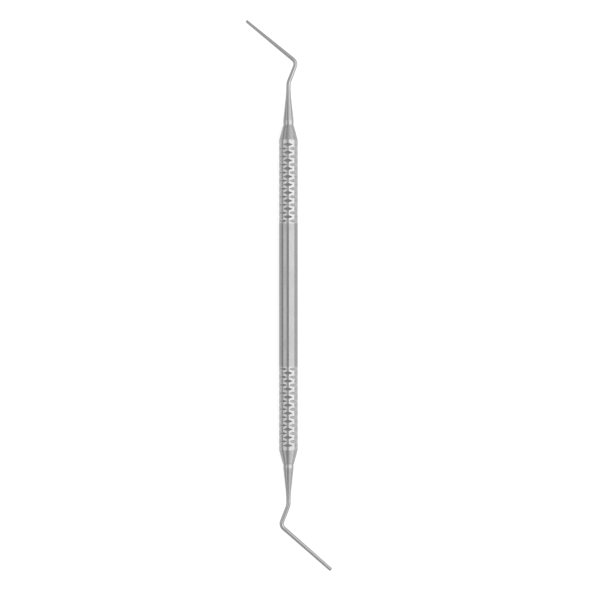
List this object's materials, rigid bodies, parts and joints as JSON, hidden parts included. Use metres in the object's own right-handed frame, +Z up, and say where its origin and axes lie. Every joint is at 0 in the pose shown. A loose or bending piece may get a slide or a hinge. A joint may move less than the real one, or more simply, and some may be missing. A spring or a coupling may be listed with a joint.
{
  "type": "dental root canal plugger",
  "caption": "Double-ended hand instrument: ten-sided steel grip bar with notched corners and a bent, flat-tipped plugger rod at each end.",
  "frame": {"origin": "centre of the instrument's box, on the surface it lies on", "axes": "+Y along the grip bar towards the small working end, +Z up from the surface it lies on, +X to the side that the large working end's rod points to"},
  "size_m": [0.0278, 0.1764, 0.006],
  "materials": {
    "handle_steel": "satin, milled flats and notches",
    "working_end_steel": "satin, hand polished"
  },
  "bodies": {
    "root": {"handle": "handle_steel", "small_working_end": "working_end_steel", "large_working_end": "working_end_steel"}
  },
  "joints": []
}
